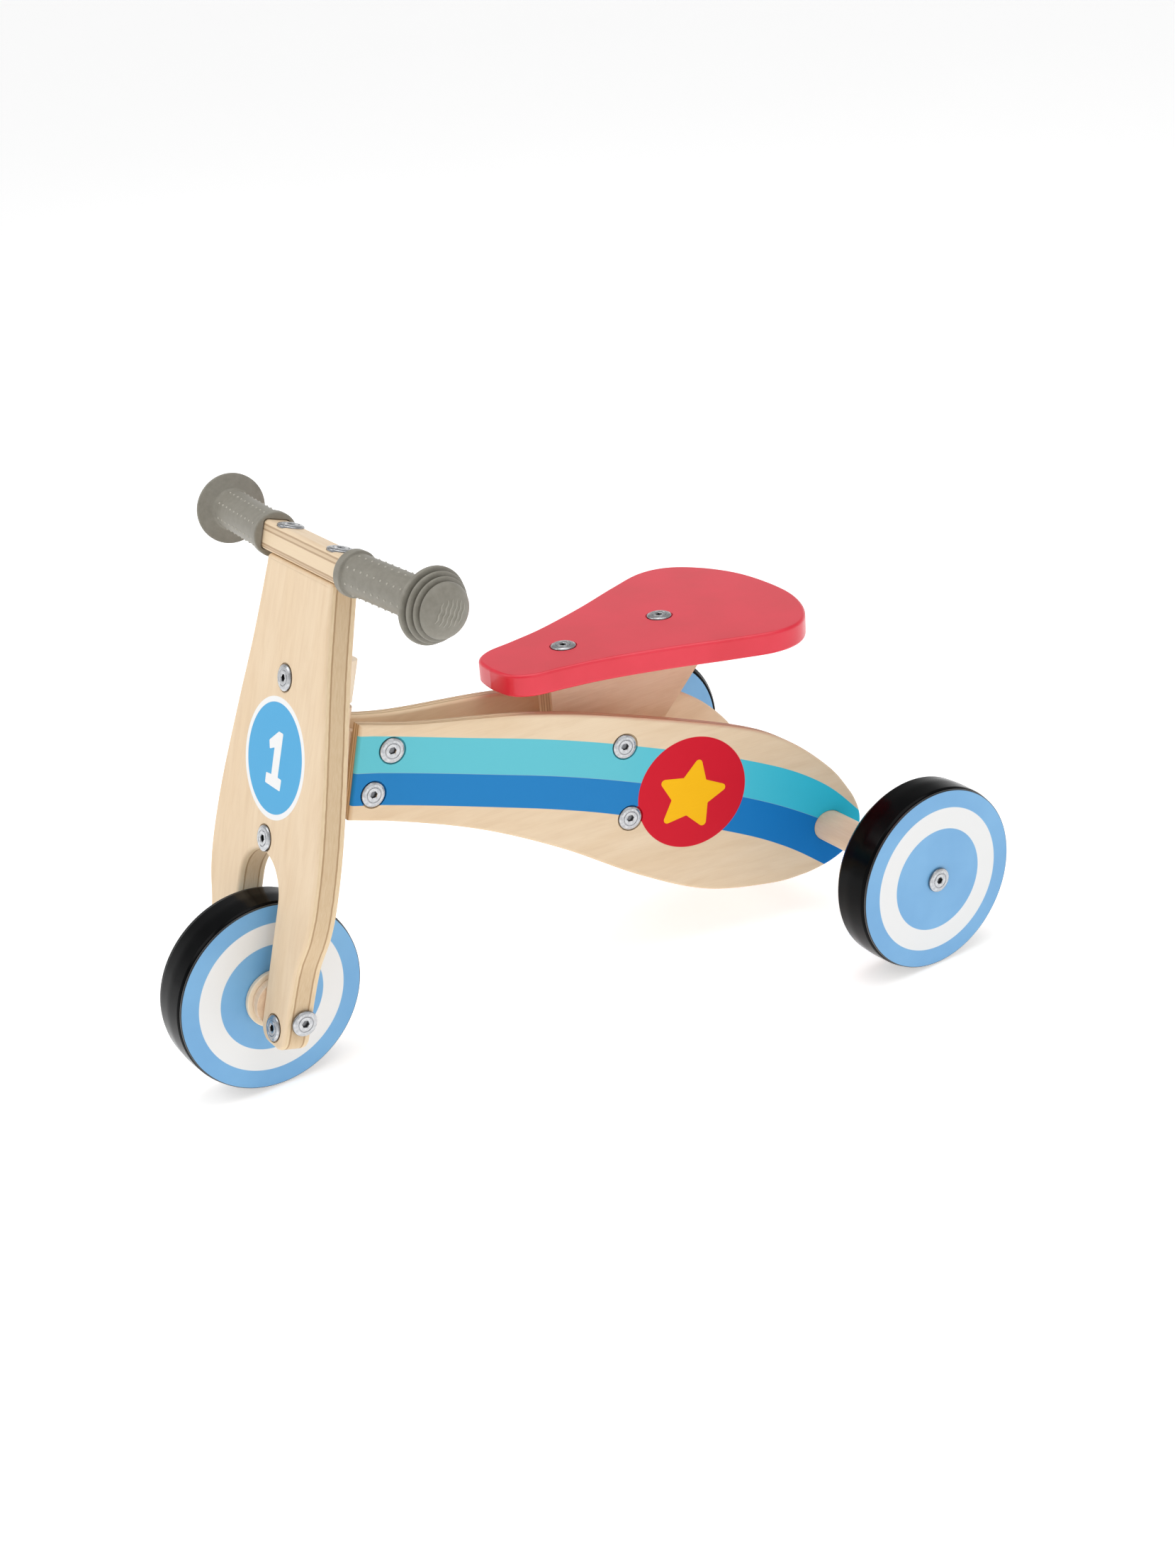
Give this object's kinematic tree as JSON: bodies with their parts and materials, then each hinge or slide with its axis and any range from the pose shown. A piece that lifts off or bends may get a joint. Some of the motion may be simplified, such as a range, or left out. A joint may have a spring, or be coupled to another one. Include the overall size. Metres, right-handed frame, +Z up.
{
  "type": "balance bike",
  "caption": "Toddler's three-wheeled wooden ride-on with a raked plywood fork, steering pin, two bowed side boards, flat seat, straight rubber grips and three tyred wooden wheels.",
  "frame": {"origin": "on the floor, on the centre plane, midway between the front and rear axles", "axes": "+Z up, the front of the bike faces -Y, the rider's left is +X"},
  "size_m": [0.349, 0.527, 0.3473],
  "materials": {
    "birch_face": "clear satin varnish on birch plywood, faces printed in flat colours",
    "birch_edge": "clear satin varnish on birch plywood edges",
    "beech": "clear satin varnish on turned beech",
    "wheel_paint": "satin paint, light blue with a white ring",
    "tyre_rubber": "smooth glossy black rubber",
    "seat_paint": "satin red paint",
    "grip_rubber": "matt olive grey moulded rubber",
    "zinc": "bright zinc plate"
  },
  "bodies": {
    "frame": {"board_spacer_lower_left": "beech", "board_spacer_lower_right": "beech", "board_spacer_upper_left": "beech", "board_spacer_upper_right": "beech", "frame_bolt_front_lower": "zinc", "frame_bolt_front_upper": "zinc", "frame_bolt_mid_lower": "zinc", "frame_bolt_mid_upper": "zinc", "frame_nut_front_lower": "zinc", "frame_nut_front_upper": "zinc", "frame_nut_mid_lower": "zinc", "frame_nut_mid_upper": "zinc", "head_block": "beech", "rear_axle": "beech", "rear_washer_left": "zinc", "rear_washer_right": "zinc", "rear_wheel_bolt_left": "zinc", "rear_wheel_bolt_right": "zinc", "seat": "seat_paint", "seat_bolt_front": "zinc", "seat_bolt_rear": "zinc", "seat_support": "birch_edge", "side_board_left": "birch_face", "side_board_right": "birch_face"},
    "fork": {"barrel_nut_left": "zinc", "barrel_nut_right": "zinc", "fork_board": "birch_face", "fork_bolt_lower": "zinc", "fork_bolt_upper": "zinc", "front_axle_bolt": "zinc", "front_axle_nut": "zinc", "front_spacer_left": "beech", "front_spacer_right": "beech", "grip_left": "grip_rubber", "grip_right": "grip_rubber", "handlebar": "birch_edge", "handlebar_bolt_left": "zinc", "handlebar_bolt_right": "zinc", "leg_bolt_left": "zinc", "leg_bolt_right": "zinc", "steering_block_lower": "beech", "steering_block_upper": "beech", "steering_nut": "zinc", "steering_pin": "zinc", "steering_washer_lower": "zinc", "steering_washer_upper": "zinc"},
    "front_wheel": {"front_disc": "wheel_paint", "front_hub_disc_left": "beech", "front_hub_disc_right": "beech", "front_tyre": "tyre_rubber"},
    "rear_wheel_left": {"rear_disc_left": "wheel_paint", "rear_tyre_left": "tyre_rubber"},
    "rear_wheel_right": {"rear_disc_right": "wheel_paint", "rear_tyre_right": "tyre_rubber"}
  },
  "joints": [
    {"name": "steering", "type": "hinge", "parent": "frame", "child": "fork", "pos_m": [0, -0.13744, 0.19678], "axis": [0, 0.279, 0.9603], "range_deg": [-35, 35]},
    {"name": "front_wheel_spin", "type": "hinge", "parent": "fork", "child": "front_wheel", "pos_m": [0, -0.201, 0.0625], "axis": [1, 0, 0], "continuous": true},
    {"name": "rear_left_wheel_spin", "type": "hinge", "parent": "frame", "child": "rear_wheel_left", "pos_m": [0.157, 0.201, 0.0625], "axis": [1, 0, 0], "continuous": true},
    {"name": "rear_right_wheel_spin", "type": "hinge", "parent": "frame", "child": "rear_wheel_right", "pos_m": [-0.157, 0.201, 0.0625], "axis": [1, 0, 0], "continuous": true}
  ]
}
